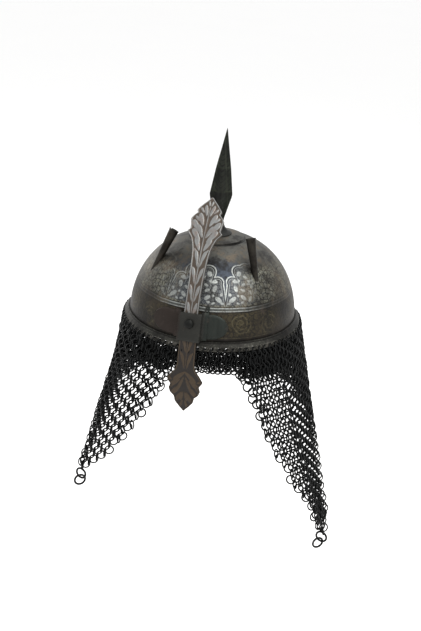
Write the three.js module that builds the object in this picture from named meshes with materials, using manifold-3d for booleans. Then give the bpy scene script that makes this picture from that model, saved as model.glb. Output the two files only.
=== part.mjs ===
// Kulah khud helmet: a round steel bowl with a pierced rim band, a four-sided spike, two plume
// tubes, a sliding nasal bar held by a staple and a set screw, and a mail curtain.
// Millimetres, +Z up, -Y is the face side. The origin is the middle of the rim's lower edge.

import * as THREE from "three";
import { mergeVertices } from "three/addons/utils/BufferGeometryUtils.js";
import Module from "manifold-3d";

const wasm = await Module();
wasm.setup();

// Driving dimensions ---------------------------------------------------------------------------

const gap = 0.3; // clearance between pieces that touch on the real helmet
const bowl = { radius: 100.8, height: 105.7, power: 2.2, wall: 1.5, foot: 3, sides: 48 };
const rim = { outer: 107, lipTop: 5.5, lipWall: 2.4, bandTop: 10.5, bandWall: 2, holes: 84 };
const rimHole = { radius: 1.5, height: 3.6, sides: 6 };
const plate = { radius: 32, thickness: 1.4 };
const collar = { foot: 17, neck: 6.8, top: 120.6 };
const collarFlare = [[7.4, 116.5], [9.6, 112.4], [13, 109.4]]; // radius and height, neck to foot
const spike = { width: 13.3, depth: 9.5, turn: 13.5, tip: 232, leanX: 3.4, leanY: 0.8 };
// Heights up the spike and its size there, as a part of its width and depth at the shoulder.
const spikeLevels = [[130, 0.5], [140, 0.68], [149, 0.92], [154, 1], [185, 0.66], [210, 0.31]];
const spikeFoot = 0.4; // its size where it stands on the collar
const arc = { radius: 285, centreY: 172.5, centreZ: -40 }; // the nasal bar's own circle
const barThickness = 2.5;
const staple = { halfWidth: 13.5, wall: 2, low: 10.35, high: 16.8, slack: 0.75, plate: 1.8 };
const bracket = { low: 13, high: 41, left: -28, right: 24.4, thickness: 1.5, round: 11 };
const lug = { left: 14.2, right: 19, low: 39, high: 49.5, slot: 1.4 };
const screw = {
  height: 31, headRadius: 5.35, headHeight: 4.2, headEdge: 0.8, shank: 2.2, hole: 2.65, sides: 16,
};
const tube = { azimuth: 52, length: 43.5, mouth: 6, foot: 3, bore: 4.9, boreFoot: 2.6, boreDepth: 27 };
const tubeRoots = {
  left: { out: 75, up: 75.2, lean: 26.8 },
  right: { out: 74.2, up: 76.4, lean: 17.5 },
};
const mail = { radius: 106, thickness: 3.6, seam: 0.1 };
const endRing = { radius: 6.6, wire: 0.9, drop: 9.8, clear: 1.2 };
// Where the two loose rings at each tip hang: the line they follow and the lower one's shift in x.
const tips = { left: { azimuth: -30, shift: -1.5 }, right: { azimuth: 60, shift: -3.5 } };
const ringFacing = { upper: -25, lower: 50 }; // azimuths that their flat sides face

// How the mail hangs. Each row is one line of rings down from the rim: where it leaves the rim
// (degrees round from the nose, left negative), its length, the way it leans and how far.
const mailLines = [
  [-180, 112, -180, 4], [-130, 112, -130, 5], [-100, 107, -98, 6], [-84, 110, -82, 7],
  [-71, 126, -60, 9.6], [-64, 157, -50, 13.2], [-58, 184, -52, 16.4], [-52, 190, -59, 17.2],
  [-44, 194, -68, 18.6], [-37, 198, -75, 20.4], [-30, 200, -80, 22.4], [-25, 189, -79, 21.6],
  [-20, 168, -77, 20.8], [-16, 139, -77, 20.3], [-12, 107, -77, 19.5], [-8, 76, -75, 19],
  [-5, 45, -80, 18], [-2, 27, -86, 8], [4, 25, -40, 1], [28, 25, 30, 3], [33, 30, 38, 10],
  [37, 61, 45, 22.8], [42, 110, 57, 19.4], [48, 156, 65, 20.3], [54, 204, 71, 21.2],
  [60, 243, 77, 20], [64, 242, 75, 19.6], [70, 236, 70, 19.3], [77, 227, 65, 19.5],
  [84, 215, 60, 19.9], [91, 200, 56, 19.9], [98, 181, 53, 19.4], [105, 152, 62, 15],
  [113, 124, 88, 10], [122, 112, 115, 7], [145, 112, 145, 5], [180, 112, 180, 4],
];
const mailPanels = {
  mail_front: { from: -5, to: 33, columns: 8, rows: 1 },
  mail_left: { from: -92, to: -5, columns: 20, rows: 5 },
  mail_right: { from: 33, to: 100, columns: 18, rows: 6 },
  mail_back: { from: 100, to: 268, columns: 22, rows: 2 },
};

// Half width of the nasal bar, by distance along it from the height of its circle's centre.
const barOutline = [
  [-36.4, 0.6], [-31, 5.6], [-24.3, 10.9], [-18, 12.1], [-13.6, 16.8], [-8.6, 18.7], [-3, 16.9],
  [0, 19], [3.6, 21.3], [10, 17.2], [16.4, 12], [23, 10.3], [34, 10.2], [46, 10], [58, 9.6], [70, 9],
  [82, 8.3], [94, 8.1], [107, 8.1], [120, 8.3], [133, 8.8], [146, 9.6], [155, 10.6], [162, 12.4],
  [169, 15.2], [175.5, 20.6], [178, 17.6], [184, 18.2], [190.5, 19.4], [195, 16.4], [198, 13],
  [201.5, 14.6], [207, 10.6], [213, 5.4], [218.6, 0.6],
];

// Finishes -------------------------------------------------------------------------------------

const steel = { color: 0x46423c, roughness: 0.55, metalness: 0.8 };
const rimSteel = { color: 0x55524c, roughness: 0.6, metalness: 0.8 };
const blackSteel = { color: 0x1e2020, roughness: 0.5, metalness: 0.8 };
const paleSteel = { color: 0x96908a, roughness: 0.5, metalness: 0.8 };
const mailSteel = { color: 0x141616, roughness: 0.5, metalness: 0.8 };
const rustySteel = { color: 0x4a3e36, roughness: 0.65, metalness: 0.7 };

const helmet = new THREE.Group();

function addPiece(name, geometry, finish) {
  const mesh = new THREE.Mesh(geometry, new THREE.MeshStandardMaterial(finish));
  mesh.name = name;
  helmet.add(mesh);
}

// Small geometry helpers -----------------------------------------------------------------------

const radians = (degrees) => THREE.MathUtils.degToRad(degrees);

// A point at an azimuth from the nose, a distance out from the axis and a height.
function roundPoint(azimuth, out, up) {
  return new THREE.Vector3(out * Math.sin(radians(azimuth)), -out * Math.cos(radians(azimuth)), up);
}

// A point on the nasal bar's circle: sideways x, degrees above its centre, distance from its centre.
function arcPoint(x, degrees, radius) {
  const angle = radians(degrees);
  const [out, up] = [radius * Math.cos(angle), radius * Math.sin(angle)];
  return new THREE.Vector3(x, arc.centreY - out, arc.centreZ + up);
}

// The bowl's outer radius at a height, and its height at a radius.
function bowlRadiusAt(up) {
  return bowl.radius * (1 - (up / bowl.height) ** bowl.power) ** (1 / bowl.power);
}

function bowlHeightAt(out) {
  return bowl.height * (1 - (out / bowl.radius) ** bowl.power) ** (1 / bowl.power);
}

// A closed slab between two grids of points. pointAt gives the point for a column, a row and a
// side, 0 for the face that columns x rows points out of and 1 for the one behind it.
function slab(columns, rows, pointAt) {
  const positions = [];
  const triangles = [];
  const index = (column, row, side) => (side * (columns + 1) + column) * (rows + 1) + row;
  const quad = (a, b, c, d) => triangles.push(a, b, c, a, c, d);
  for (let side = 0; side < 2; side++)
    for (let column = 0; column <= columns; column++)
      for (let row = 0; row <= rows; row++) {
        const point = pointAt(column / columns, row / rows, side);
        positions.push(point.x, point.y, point.z);
      }
  for (let c = 0; c < columns; c++)
    for (let r = 0; r < rows; r++) {
      quad(index(c, r, 0), index(c + 1, r, 0), index(c + 1, r + 1, 0), index(c, r + 1, 0));
      quad(index(c, r, 1), index(c, r + 1, 1), index(c + 1, r + 1, 1), index(c + 1, r, 1));
    }
  for (let c = 0; c < columns; c++) {
    quad(index(c, 0, 0), index(c, 0, 1), index(c + 1, 0, 1), index(c + 1, 0, 0));
    quad(index(c, rows, 0), index(c + 1, rows, 0), index(c + 1, rows, 1), index(c, rows, 1));
  }
  for (let r = 0; r < rows; r++) {
    quad(index(0, r, 0), index(0, r + 1, 0), index(0, r + 1, 1), index(0, r, 1));
    quad(index(columns, r, 0), index(columns, r, 1), index(columns, r + 1, 1), index(columns, r + 1, 0));
  }
  const geometry = new THREE.BufferGeometry();
  geometry.setAttribute("position", new THREE.Float32BufferAttribute(positions, 3));
  geometry.setIndex(triangles);
  return facingOut(geometry);
}

// Turns a closed geometry the right way round if its volume comes out negative.
function facingOut(geometry) {
  const position = geometry.getAttribute("position");
  const order = geometry.getIndex().array;
  const corner = (i) => new THREE.Vector3().fromBufferAttribute(position, order[i]);
  let volume = 0;
  for (let i = 0; i < order.length; i += 3) {
    volume += corner(i).dot(corner(i + 1).cross(corner(i + 2)));
  }
  if (volume < 0) order.reverse();
  return geometry;
}

// A solid turned about +Z from a closed profile of [radius, height] points.
function turned(profile, sides) {
  const points = profile.map(([out, up]) => new THREE.Vector2(out, up));
  const geometry = new THREE.LatheGeometry(points, sides);
  geometry.rotateX(Math.PI / 2);
  return weld(geometry);
}

// Shared vertices merged, zero-area triangles dropped, faces pointing out.
function weld(source) {
  const bare = source.clone();
  bare.deleteAttribute("normal");
  bare.deleteAttribute("uv");
  const merged = mergeVertices(bare, 1e-3);
  const order = merged.getIndex().array;
  const kept = [];
  for (let i = 0; i < order.length; i += 3) {
    const [a, b, c] = order.slice(i, i + 3);
    if (a !== b && b !== c && c !== a) kept.push(a, b, c);
  }
  merged.setIndex(kept);
  return facingOut(merged);
}

function toSolid(geometry) {
  const welded = weld(geometry);
  return new wasm.Manifold(
    new wasm.Mesh({
      numProp: 3,
      vertProperties: new Float32Array(welded.getAttribute("position").array),
      triVerts: new Uint32Array(welded.getIndex().array),
    }),
  );
}

function toGeometry(solid) {
  const mesh = solid.getMesh();
  const geometry = new THREE.BufferGeometry();
  geometry.setAttribute("position", new THREE.Float32BufferAttribute(mesh.vertProperties, 3));
  geometry.setIndex(Array.from(mesh.triVerts));
  return geometry;
}

// Stands a geometry that was made up +Z so that it points along a direction from a point.
function pointed(geometry, from, direction) {
  const up = new THREE.Vector3(0, 0, 1);
  const turn = new THREE.Quaternion().setFromUnitVectors(up, direction.clone().normalize());
  return geometry.applyQuaternion(turn).translate(from.x, from.y, from.z);
}

// Smooth value of one field of a sorted table at x, with slopes taken from the neighbours.
function smoothValue(table, x, field) {
  const last = table.length - 2;
  let i = 0;
  while (i < last && x > table[i + 1][0]) i++;
  const slope = (k) => {
    const before = table[Math.max(k - 1, 0)];
    const after = table[Math.min(k + 1, table.length - 1)];
    return (after[field] - before[field]) / (after[0] - before[0]);
  };
  const [from, to] = [table[i], table[i + 1]];
  const span = to[0] - from[0];
  const t = (x - from[0]) / span;
  const rise = to[field] - from[field];
  const [startBend, endBend] = [slope(i) * span - rise, rise - slope(i + 1) * span];
  return from[field] + t * rise + t * (1 - t) * (startBend * (1 - t) + endBend * t);
}

// Bowl and rim ---------------------------------------------------------------------------------

// Points up the bowl's side at an offset from its outer face, evenly round the curve.
function bowlProfile(offset, steps) {
  const points = [];
  for (let i = 0; i <= steps; i++) {
    const angle = (i / steps) * (Math.PI / 2);
    const out = (bowl.radius + offset) * Math.cos(angle) ** (2 / bowl.power);
    const up = (bowl.height + offset) * Math.sin(angle) ** (2 / bowl.power);
    points.push([i === steps ? 0 : out, Math.max(up, bowl.foot)]);
  }
  return points;
}

function makeBowl() {
  const outside = bowlProfile(0, 14);
  const inside = bowlProfile(-bowl.wall, 14).reverse();
  return turned([...outside, ...inside, outside[0]], bowl.sides);
}

function makeRimBand() {
  const sleeve = bowl.radius + gap;
  const profile = [
    [rim.outer - rim.lipWall, 0], [rim.outer, 0], [rim.outer - 0.4, rim.lipTop],
    [sleeve + rim.bandWall, rim.bandTop - 1], [sleeve + rim.bandWall - 0.6, rim.bandTop],
    [sleeve, rim.bandTop], [sleeve, rim.lipTop + 2],
    [rim.outer - rim.lipWall, rim.lipTop - 0.5], [rim.outer - rim.lipWall, 0],
  ];
  const drills = [];
  for (let i = 0; i < rim.holes; i++) {
    const azimuth = ((i + 0.5) * 360) / rim.holes;
    const drill = new THREE.CylinderGeometry(rimHole.radius, rimHole.radius, 8, rimHole.sides);
    drill.rotateX(Math.PI / 2);
    const way = roundPoint(azimuth, 1, 0);
    drills.push(toSolid(pointed(drill, roundPoint(azimuth, rim.outer, rimHole.height), way)));
  }
  return toGeometry(toSolid(turned(profile, rim.holes)).subtract(wasm.Manifold.union(drills)));
}

// Crown: plate, collar and spike ---------------------------------------------------------------

function makeCrownPlate() {
  const radii = [plate.radius, 24, 16, 8, 0];
  const under = radii.map((out) => [out, bowlHeightAt(out) + gap]);
  const over = radii.map((out) => [out, bowlHeightAt(out) + gap + plate.thickness]).reverse();
  return turned([...under, ...over, under[0]], bowl.sides);
}

function makeCollar() {
  const seat = 2 * gap + plate.thickness;
  const under = [collar.foot, 11, 5, 0].map((out) => [out, bowlHeightAt(out) + seat]);
  const side = [[0, collar.top], [collar.neck, collar.top], ...collarFlare];
  const edge = [collar.foot, bowlHeightAt(collar.foot) + seat + 0.9];
  return turned([...under, ...side, edge, under[0]], 32);
}

// A diamond section that swells from the neck to the shoulder and runs to a point, leaning a little.
function makeSpike() {
  const base = collar.top + gap;
  const levels = [[base, spikeFoot], ...spikeLevels];
  const ring = (up, size) => {
    const along = (up - base) / (spike.tip - base);
    const centre = new THREE.Vector3(spike.leanX * along, spike.leanY * along, up);
    return [0, 90, 180, 270].map((turn) => {
      const reach = size * (turn % 180 === 0 ? spike.depth : spike.width);
      return centre.clone().add(roundPoint(turn + spike.turn, reach, 0));
    });
  };
  const rings = levels.map(([up, size]) => ring(up, size));
  const tip = new THREE.Vector3(spike.leanX, spike.leanY, spike.tip);
  const points = [...rings.flat(), tip];
  const triangles = [0, 1, 2, 0, 2, 3];
  for (let level = 0; level < rings.length - 1; level++)
    for (let side = 0; side < 4; side++) {
      const [a, b] = [level * 4 + side, level * 4 + ((side + 1) % 4)];
      triangles.push(a, b + 4, b, a, a + 4, b + 4);
    }
  const top = (rings.length - 1) * 4;
  for (let side = 0; side < 4; side++) {
    triangles.push(top + side, points.length - 1, top + ((side + 1) % 4));
  }
  const geometry = new THREE.BufferGeometry().setFromPoints(points);
  geometry.setIndex(triangles);
  return facingOut(geometry);
}

// Plume tubes ----------------------------------------------------------------------------------

// An open tapered socket that leans in towards the crown, its foot cut to lie on the bowl.
function makePlumeTube(side) {
  const root = tubeRoots[side];
  const azimuth = side === "left" ? -tube.azimuth : tube.azimuth;
  const buried = 12;
  const way = roundPoint(azimuth, -Math.sin(radians(root.lean)), Math.cos(radians(root.lean)));
  const start = roundPoint(azimuth, root.out, root.up).addScaledVector(way, -buried);
  const mouth = tube.length + buried;
  const boreEnd = mouth - tube.boreDepth;
  const profile = [
    [0, 0], [tube.foot, 0], [tube.foot + 0.4, buried], [tube.mouth - 0.5, mouth - 4],
    [tube.mouth, mouth], [tube.bore, mouth], [tube.bore - 0.4, mouth - 4],
    [tube.boreFoot, boreEnd], [0, boreEnd],
  ];
  const body = toSolid(pointed(turned(profile, 16), start, way));
  const under = bowlProfile(gap, 14);
  const filled = toSolid(turned([[0, bowl.foot], ...under], bowl.sides));
  return toGeometry(body.subtract(filled));
}

// Nasal bar, its bracket and set screw ---------------------------------------------------------

const alongArc = (distance) => THREE.MathUtils.radToDeg(distance / arc.radius);

function makeNasalBar() {
  return slab(2, barOutline.length - 1, (across, along, side) => {
    const [distance, halfWidth] = barOutline[Math.round(along * (barOutline.length - 1))];
    const radius = arc.radius + (side === 0 ? 0.5 : -0.5) * barThickness;
    return arcPoint((2 * across - 1) * halfWidth, alongArc(distance), radius);
  });
}

// A point on or above the bowl, at a sideways distance from the middle and a height.
function onBowl(x, up, offset) {
  const out = bowlRadiusAt(up) + offset;
  return new THREE.Vector3(x, -Math.sqrt(out * out - x * x), up);
}

function makeBracket() {
  const middle = (bracket.low + bracket.high) / 2;
  const reach = (bracket.high - bracket.low) / 2;
  const halfHeight = (azimuth) => {
    const end = azimuth < 0 ? bracket.left : bracket.right;
    const past = Math.max(0, 1 - Math.abs(end - azimuth) / bracket.round);
    return reach * Math.sqrt(Math.max(1 - past * past, 0.03));
  };
  const steps = [0, 0.15, 0.6, 1.6, 3.4, 6, 9, 12];
  const stations = [
    ...steps.map((step) => bracket.left + step), -8, 0, 8,
    ...steps.map((step) => bracket.right - step).reverse(),
  ];
  const base = slab(stations.length - 1, 5, (across, up, side) => {
    const azimuth = stations[Math.round(across * (stations.length - 1))];
    const height = middle + (2 * up - 1) * halfHeight(azimuth);
    return roundPoint(azimuth, bowlRadiusAt(height) + gap + (side === 0 ? bracket.thickness : 0), height);
  });
  const inner = arc.radius + barThickness / 2 + staple.slack;
  const front = slab(1, 5, (across, up, side) => {
    const degrees = staple.low + up * (staple.high - staple.low);
    return arcPoint((2 * across - 1) * staple.halfWidth, degrees, inner + (side === 0 ? staple.plate : 0));
  });
  const cheek = (edge) =>
    slab(1, 5, (across, up, side) => {
      const x = Math.sign(edge) * (staple.halfWidth - across * staple.wall);
      const outer = arcPoint(x, staple.low + up * (staple.high - staple.low), inner + staple.plate / 2);
      return side === 0 ? outer : onBowl(x, outer.z - 0.3 * (1 - up), gap + bracket.thickness / 2);
    });
  const eye = slab(2, 2, (across, up, side) => {
    const x = lug.left + across * (lug.right - lug.left);
    return onBowl(x, lug.low + up * (lug.high - lug.low), gap + (side === 0 ? bracket.thickness : 0));
  });
  const eyeSlot = new THREE.BoxGeometry(lug.slot, 16, 5);
  eyeSlot.translate((lug.left + lug.right) / 2, onBowl(lug.left, lug.high, 0).y, lug.high - 4.2);
  const hole = new THREE.CylinderGeometry(screw.hole, screw.hole, 8, screw.sides);
  hole.rotateX(Math.PI / 2);
  const seat = screwPlace(inner);
  return toGeometry(
    toSolid(base)
      .add(toSolid(front))
      .add(toSolid(cheek(-1)))
      .add(toSolid(cheek(1)))
      .add(toSolid(eye))
      .subtract(toSolid(eyeSlot))
      .subtract(toSolid(pointed(hole, seat.point, seat.way))),
  );
}

// Where the set screw's axis is at a distance from the arc's centre, and which way it points.
function screwPlace(radius) {
  const degrees = THREE.MathUtils.radToDeg(Math.asin((screw.height - arc.centreZ) / arc.radius));
  const point = arcPoint(0, degrees, radius);
  const way = arcPoint(0, degrees, 1).sub(arcPoint(0, degrees, 0));
  return { point, way };
}

function makeSetScrew() {
  const barFace = arc.radius + barThickness / 2;
  const headSeat = staple.slack + staple.plate; // the head's underside, above the bar's face
  const edge = headSeat + gap + screw.headEdge; // where the head's straight edge ends
  const dome = [0, 30, 60].map((degrees) => {
    const angle = radians(degrees);
    const rise = (screw.headHeight - screw.headEdge) * Math.sin(angle);
    return [screw.headRadius * Math.cos(angle), edge + rise];
  });
  const profile = [
    [0, gap], [screw.shank, gap], [screw.shank, headSeat + gap], [screw.headRadius, headSeat + gap],
    ...dome, [0, headSeat + gap + screw.headHeight],
  ];
  const place = screwPlace(barFace);
  return pointed(turned(profile, screw.sides), place.point, place.way);
}

// Mail -----------------------------------------------------------------------------------------

// A point of the curtain: the line that leaves the rim at an azimuth, some way down it.
function mailPoint(azimuth, down, outward) {
  const leanWay = smoothValue(mailLines, azimuth, 2);
  const lean = radians(smoothValue(mailLines, azimuth, 3));
  const point = roundPoint(azimuth, mail.radius + outward, -gap - down * Math.cos(lean));
  return point.add(roundPoint(leanWay, down * Math.sin(lean), 0));
}

function makeMailPanel({ from, to, columns, rows }) {
  return slab(columns, rows, (across, along, side) => {
    const turn = from + mail.seam + across * (to - from - 2 * mail.seam);
    const azimuth = turn > 180 ? turn - 360 : turn;
    const length = smoothValue(mailLines, azimuth, 1);
    return mailPoint(azimuth, along * length, (side === 0 ? 0.5 : -0.5) * mail.thickness);
  });
}

// A single ring hung on its edge: its middle and the azimuth that its flat side faces.
function makeEndRing(centre, facing) {
  const ring = new THREE.TorusGeometry(endRing.radius, endRing.wire, 6, 14);
  ring.rotateX(Math.PI / 2);
  ring.rotateZ(radians(facing));
  return weld(ring.translate(centre.x, centre.y, centre.z));
}

function addEndRings(side) {
  const { azimuth, shift } = tips[side];
  const middle = mailPoint(azimuth, smoothValue(mailLines, azimuth, 1), 0);
  middle.z -= endRing.clear + endRing.wire + endRing.radius;
  addPiece(`mail_end_ring_${side}_upper`, makeEndRing(middle, ringFacing.upper), mailSteel);
  middle.add(new THREE.Vector3(shift, 0, -endRing.drop));
  addPiece(`mail_end_ring_${side}_lower`, makeEndRing(middle, ringFacing.lower), mailSteel);
}

// The helmet -----------------------------------------------------------------------------------

addPiece("bowl", makeBowl(), steel);
addPiece("rim_band", makeRimBand(), rimSteel);
addPiece("crown_plate", makeCrownPlate(), steel);
addPiece("spike_collar", makeCollar(), blackSteel);
addPiece("spike", makeSpike(), blackSteel);
addPiece("plume_tube_left", makePlumeTube("left"), steel);
addPiece("plume_tube_right", makePlumeTube("right"), steel);
addPiece("nasal_bracket", makeBracket(), rustySteel);
addPiece("nasal_bar", makeNasalBar(), paleSteel);
addPiece("set_screw", makeSetScrew(), blackSteel);
for (const [name, panel] of Object.entries(mailPanels)) addPiece(name, makeMailPanel(panel), mailSteel);
for (const side of Object.keys(tips)) addEndRings(side);

export default helmet;
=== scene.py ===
import math

import bmesh
import bpy
import numpy as np
from mathutils import Matrix, Vector


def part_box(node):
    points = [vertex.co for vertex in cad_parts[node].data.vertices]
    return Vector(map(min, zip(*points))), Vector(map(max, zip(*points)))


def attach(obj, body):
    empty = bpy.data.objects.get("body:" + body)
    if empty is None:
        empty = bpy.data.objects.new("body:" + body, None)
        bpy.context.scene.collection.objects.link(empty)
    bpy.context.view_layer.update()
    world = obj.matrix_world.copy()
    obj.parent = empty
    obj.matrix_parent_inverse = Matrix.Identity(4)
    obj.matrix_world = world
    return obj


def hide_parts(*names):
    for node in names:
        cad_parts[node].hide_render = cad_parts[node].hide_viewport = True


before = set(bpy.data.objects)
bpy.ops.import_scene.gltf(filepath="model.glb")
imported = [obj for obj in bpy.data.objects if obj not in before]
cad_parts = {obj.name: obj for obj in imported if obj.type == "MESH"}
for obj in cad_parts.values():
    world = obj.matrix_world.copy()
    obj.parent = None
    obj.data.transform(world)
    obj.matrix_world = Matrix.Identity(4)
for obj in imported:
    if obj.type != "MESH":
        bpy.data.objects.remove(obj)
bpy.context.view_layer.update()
mm = 0.001
random = np.random.default_rng(41)

# The nasal bar's circle, the bowl's curve and the way the mail hangs are the same in the CAD part.
bowlShape = {"radius": 0.1008, "height": 0.1057, "power": 2.2, "foot": 0.003, "wall": 0.0015}
barArc = {"radius": 0.285, "centreY": 0.1725, "centreZ": -0.04}
spikeTurn = 13.5


# A socket that adds Math nodes when it is used in a Python expression.
class Value:
    def __init__(self, tree, socket):
        self.tree = tree
        self.socket = socket

    def math(self, operation, *others, clamp=False):
        sockets = dict(enumerate((self,) + others))
        return self.tree.node("ShaderNodeMath", {"operation": operation, "use_clamp": clamp}, sockets)

    def __add__(self, other):
        return self.math("ADD", other)

    def __radd__(self, other):
        return self.math("ADD", other)

    def __sub__(self, other):
        return self.math("SUBTRACT", other)

    def __rsub__(self, other):
        return self.tree.node("ShaderNodeMath", {"operation": "SUBTRACT"}, {0: other, 1: self})

    def __mul__(self, other):
        return self.math("MULTIPLY", other)

    def __rmul__(self, other):
        return self.math("MULTIPLY", other)

    def __pow__(self, other):
        return self.math("POWER", other)

    def __mod__(self, other):
        return self.math("FLOORED_MODULO", other)

    def __abs__(self):
        return self.math("ABSOLUTE")

    def __neg__(self):
        return self.math("MULTIPLY", -1.0)

    def clamped(self):
        return self.math("ADD", 0.0, clamp=True)

    def least(self, other):
        return self.math("MINIMUM", other)

    def most(self, other):
        return self.math("MAXIMUM", other)


# A node tree with one method that adds any node: its settings are set first, then its sockets.
class Tree:
    def __init__(self, nodeTree):
        self.nodeTree = nodeTree
        self.place = None

    def node(self, kind, settings=None, sockets=None, output=0):
        made = self.nodeTree.nodes.new(kind)
        for name, value in (settings or {}).items():
            setattr(made, name, value)
        for key, value in (sockets or {}).items():
            self.feed(made.inputs[key], value)
        if isinstance(output, tuple):
            return [Value(self, made.outputs[key]) for key in output]
        return Value(self, made.outputs[output])

    def feed(self, socket, value):
        if isinstance(value, Value):
            self.nodeTree.links.new(value.socket, socket)
        else:
            socket.default_value = value

    def mixColour(self, amount, first, second):
        sockets = {0: amount, 6: asColour(first), 7: asColour(second)}
        return self.node("ShaderNodeMix", {"data_type": "RGBA"}, sockets, 2)

    def coat(self, colour, *coats):
        for amount, levels in coats:
            colour = self.mixColour(amount, colour, tone(*levels))
        return colour

    def smooth(self, value, low, high):
        settings = {"interpolation_type": "SMOOTHSTEP"}
        return self.node("ShaderNodeMapRange", settings, {0: value, 1: low, 2: high})

    def noise(self, scale, detail, rough=0.55, seed=0.0, place=None):
        sockets = {"Vector": place or self.place, "Scale": scale, "Detail": detail}
        sockets.update({"Roughness": rough, "W": seed})
        return self.node("ShaderNodeTexNoise", {"noise_dimensions": "4D"}, sockets)

    def stretched(self, upward):
        sockets = {"Vector": self.place, "Scale": (1.0, 1.0, upward)}
        return self.node("ShaderNodeMapping", sockets=sockets)

    def axes(self):
        return self.node("ShaderNodeSeparateXYZ", sockets={0: self.place}, output=("X", "Y", "Z"))


def asColour(value):
    return value if isinstance(value, Value) else (*value, 1.0)


# A Principled material. build gets its tree, whose place is the object's coordinates.
def makeMaterial(name, build):
    material = bpy.data.materials.new(name)
    material.use_nodes = True
    tree = Tree(material.node_tree)
    tree.place = tree.node("ShaderNodeTexCoord", output="Object")
    principled = material.node_tree.nodes["Principled BSDF"]
    for key, value in build(tree).items():
        tree.feed(principled.inputs[key], value)
    return material


# The sockets of a metal surface, with a relief of a depth in metres.
def metalSurface(tree, colour, metallic, roughness, height, depth=0.0003, strength=0.6):
    sockets = {"Height": height, "Distance": depth, "Strength": strength}
    normal = tree.node("ShaderNodeBump", sockets=sockets, output="Normal")
    return {"Base Color": colour, "Metallic": metallic, "Roughness": roughness, "Normal": normal}


def linkObject(name, data):
    made = bpy.data.objects.new(name, data)
    bpy.context.scene.collection.objects.link(made)
    return made


def makeObject(name, vertices, faces, material=None, sharp=35.0):
    mesh = bpy.data.meshes.new(name)
    mesh.from_pydata([tuple(v) for v in vertices], [], [tuple(f) for f in faces])
    mesh.validate()
    mesh.shade_smooth()
    mesh.set_sharp_from_angle(angle=math.radians(sharp))
    if material:
        mesh.materials.append(material)
    return linkObject(name, mesh)


def roundPoint(azimuth, out, up):
    angle = np.radians(azimuth)
    return np.stack(np.broadcast_arrays(out * np.sin(angle), -out * np.cos(angle), up), -1)


def arcPoint(x, degrees, radius):
    angle = np.radians(degrees)
    y = barArc["centreY"] - radius * np.cos(angle)
    return np.stack(np.broadcast_arrays(x, y, barArc["centreZ"] + radius * np.sin(angle)), -1)


def bowlCurve(share):
    power = bowlShape["power"]
    return (1 - np.clip(share, 0, 1) ** power) ** (1 / power)


def bowlRadiusAt(up):
    return bowlShape["radius"] * bowlCurve(up / bowlShape["height"])


def bowlHeightAt(out):
    return bowlShape["height"] * bowlCurve(out / bowlShape["radius"])


# Faces of a grid of points, numbered row by row, that may close on itself across.
def gridFaces(rows, columns, wrap=False, start=0):
    faces = []
    for r in range(rows - 1):
        for c in range(columns if wrap else columns - 1):
            n = (c + 1) % columns
            faces.append((start + r * columns + c, start + r * columns + n,
                          start + (r + 1) * columns + n, start + (r + 1) * columns + c))
    return faces


# A solid turned about +Z from [radius, height] points; points on the axis become poles.
def turnedBody(profile, steps):
    vertices, faces, rings = [], [], []
    angles = np.linspace(0, 360, steps, endpoint=False)
    for out, up in profile:
        if out < 1e-7:
            rings.append([len(vertices)])
            vertices.append((0, 0, up))
        else:
            rings.append(list(range(len(vertices), len(vertices) + steps)))
            vertices.extend(roundPoint(angles, out, up))
    closed = list(zip(rings, rings[1:]))
    if len(rings[0]) > 1 and len(rings[-1]) > 1:
        closed.append((rings[-1], rings[0]))
    for low, high in closed:
        for i in range(steps):
            j = (i + 1) % steps
            if len(low) > 1 and len(high) > 1:
                faces.append((low[i], low[j], high[j], high[i]))
            elif len(high) > 1:
                faces.append((low[0], high[j], high[i]))
            elif len(low) > 1:
                faces.append((low[i], low[j], high[0]))
    return np.array(vertices), faces


# A closed slab between two grids of the same size, the first of them the outer face.
def slabBody(outer, inner):
    rows, columns = outer.shape[:2]
    vertices = np.concatenate([outer.reshape(-1, 3), inner.reshape(-1, 3)])
    count = rows * columns
    faces = gridFaces(rows, columns)
    faces += [tuple(i + count for i in reversed(face)) for face in faces]
    edge = [c for c in range(columns)] + [r * columns + columns - 1 for r in range(1, rows)]
    edge += [count - 1 - c for c in range(1, columns)] + [r * columns for r in range(rows - 2, 0, -1)]
    for i, a in enumerate(edge):
        b = edge[(i + 1) % len(edge)]
        faces.append((b, a, a + count, b + count))
    return vertices, faces


# Turns the faces of a closed mesh outwards and joins doubled points.
def faceOut(made, join=1e-6):
    shape = bmesh.new()
    shape.from_mesh(made.data)
    bmesh.ops.remove_doubles(shape, verts=shape.verts, dist=join)
    bmesh.ops.recalc_face_normals(shape, faces=shape.faces)
    shape.to_mesh(made.data)
    shape.free()
    return made


# Joins a closed body to another, or cuts it away, with the Boolean modifier.
def combine(made, other, operation):
    change = made.modifiers.new("combine", "BOOLEAN")
    change.operation = operation
    change.solver = "EXACT"
    change.object = other
    applyModifiers(made)
    bpy.data.objects.remove(other)
    return made


# Replaces an object's mesh by the result of its modifiers, and takes them off.
def applyModifiers(made):
    graph = bpy.context.evaluated_depsgraph_get()
    result = bpy.data.meshes.new_from_object(made.evaluated_get(graph), depsgraph=graph)
    made.modifiers.clear()
    made.data = result
    return made


# A new geometry tree with named inputs. inputs maps a name to its socket type and value.
def geometryTree(name, inputs):
    group = bpy.data.node_groups.new(name, "GeometryNodeTree")
    group.interface.new_socket("Geometry", in_out="INPUT", socket_type="NodeSocketGeometry")
    for label, (kind, value) in inputs.items():
        made = group.interface.new_socket(label, in_out="INPUT", socket_type=kind)
        if value is not None:
            made.default_value = value
    group.interface.new_socket("Geometry", in_out="OUTPUT", socket_type="NodeSocketGeometry")
    tree = Tree(group)
    start = group.nodes.new("NodeGroupInput")
    given = {socket.name: Value(tree, socket) for socket in start.outputs if socket.name}
    return group, tree, given


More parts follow.
